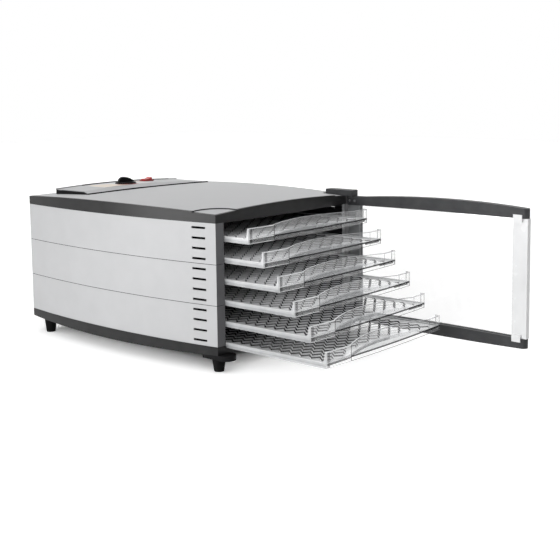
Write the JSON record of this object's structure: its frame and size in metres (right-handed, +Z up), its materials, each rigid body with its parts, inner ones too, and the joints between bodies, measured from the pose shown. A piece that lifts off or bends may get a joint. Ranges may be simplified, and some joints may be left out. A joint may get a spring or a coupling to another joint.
{
  "type": "food dehydrator",
  "caption": "Front-loading box dehydrator with bowed silver sides, a black base and lid rim, clear slide-out trays and a side-hinged clear door, shown open with its trays drawn out.",
  "frame": {"origin": "on the surface it stands on, under the middle of the body's footprint between its corners", "axes": "+Z up, -Y out of the front opening, +X to the hinge side of the door"},
  "size_m": [0.382, 0.843, 0.279],
  "materials": {
    "silver_paint": "satin",
    "black_plastic": "fine texture",
    "clear_plastic": "clear moulded",
    "pale_plastic": "gloss",
    "grey_plastic": "satin",
    "rubber": "matte",
    "red_plastic": "translucent gloss",
    "printed_scale": "printed",
    "insulator": "matte",
    "steel": "brushed"
  },
  "bodies": {
    "housing": {"air_baffle": "black_plastic", "base_tray": "black_plastic", "control_faceplate": "silver_paint", "control_housing": "black_plastic", "cord_gland": "rubber", "dial_scale_plate": "printed_scale", "fan_motor": "steel", "front_corner_caps": "silver_paint", "heater_brackets": "insulator", "heater_element": "steel", "hinge_pins": "steel", "inner_deck": "black_plastic", "left_foot_bracket": "black_plastic", "left_panel_lower": "silver_paint", "left_panel_middle": "silver_paint", "left_panel_upper": "silver_paint", "left_runner_liner": "black_plastic", "lid_rim": "black_plastic", "lid_top_panel": "silver_paint", "motor_bracket": "steel", "rear_cover": "black_plastic", "rear_cover_screws": "steel", "right_foot_bracket": "black_plastic", "right_panel_lower": "silver_paint", "right_panel_middle": "silver_paint", "right_panel_upper": "silver_paint", "right_runner_liner": "black_plastic", "rocker_bezel": "black_plastic", "rubber_feet": "rubber", "switch_body": "insulator", "terminal_block": "insulator", "thermal_cutout": "steel", "thermostat_body": "insulator", "top_hinge_knuckle": "black_plastic"},
    "door": {"door_bottom_rail": "black_plastic", "door_handle": "pale_plastic", "door_hinge_stile": "grey_plastic", "door_panel": "clear_plastic", "door_screws": "steel", "door_top_rail": "black_plastic"},
    "knob": {"control_knob": "black_plastic", "thermostat_shaft": "steel"},
    "fan": {"fan_blades": "black_plastic", "motor_shaft": "steel"},
    "rocker": {"power_rocker": "red_plastic"},
    "tray_1": {"tray_1_floor": "clear_plastic", "tray_1_frame": "clear_plastic"},
    "tray_2": {"tray_2_floor": "clear_plastic", "tray_2_frame": "clear_plastic"},
    "tray_3": {"tray_3_floor": "clear_plastic", "tray_3_frame": "clear_plastic"},
    "tray_4": {"tray_4_floor": "clear_plastic", "tray_4_frame": "clear_plastic"},
    "tray_5": {"tray_5_floor": "clear_plastic", "tray_5_frame": "clear_plastic"},
    "tray_6": {"tray_6_floor": "clear_plastic", "tray_6_frame": "clear_plastic"}
  },
  "joints": [
    {"name": "door_swing", "type": "hinge", "parent": "housing", "child": "door", "pos_m": [0.165, -0.25, 0.027], "axis": [0, 0, 1], "range_deg": [0, 90]},
    {"name": "tray_1_slide", "type": "slide", "parent": "housing", "child": "tray_1", "axis": [0, -1, 0], "range_m": [-0.058, 0.272]},
    {"name": "tray_2_slide", "type": "slide", "parent": "housing", "child": "tray_2", "axis": [0, -1, 0], "range_m": [-0.088, 0.242]},
    {"name": "tray_3_slide", "type": "slide", "parent": "housing", "child": "tray_3", "axis": [0, -1, 0], "range_m": [-0.118, 0.212]},
    {"name": "tray_4_slide", "type": "slide", "parent": "housing", "child": "tray_4", "axis": [0, -1, 0], "range_m": [-0.148, 0.182]},
    {"name": "tray_5_slide", "type": "slide", "parent": "housing", "child": "tray_5", "axis": [0, -1, 0], "range_m": [-0.178, 0.152]},
    {"name": "tray_6_slide", "type": "slide", "parent": "housing", "child": "tray_6", "axis": [0, -1, 0], "range_m": [-0.208, 0.122]},
    {"name": "knob_turn", "type": "hinge", "parent": "housing", "child": "knob", "pos_m": [-0.008, 0.16, 0.266], "axis": [0, 0, 1], "range_deg": [-135, 135]},
    {"name": "rocker_tilt", "type": "hinge", "parent": "housing", "child": "rocker", "pos_m": [0.062, 0.178, 0.26614], "axis": [0, 1, 0], "range_deg": [0, 18]},
    {"name": "fan_spin", "type": "hinge", "parent": "housing", "child": "fan", "pos_m": [0, 0.168, 0.13635], "axis": [0, 1, 0], "continuous": true}
  ]
}
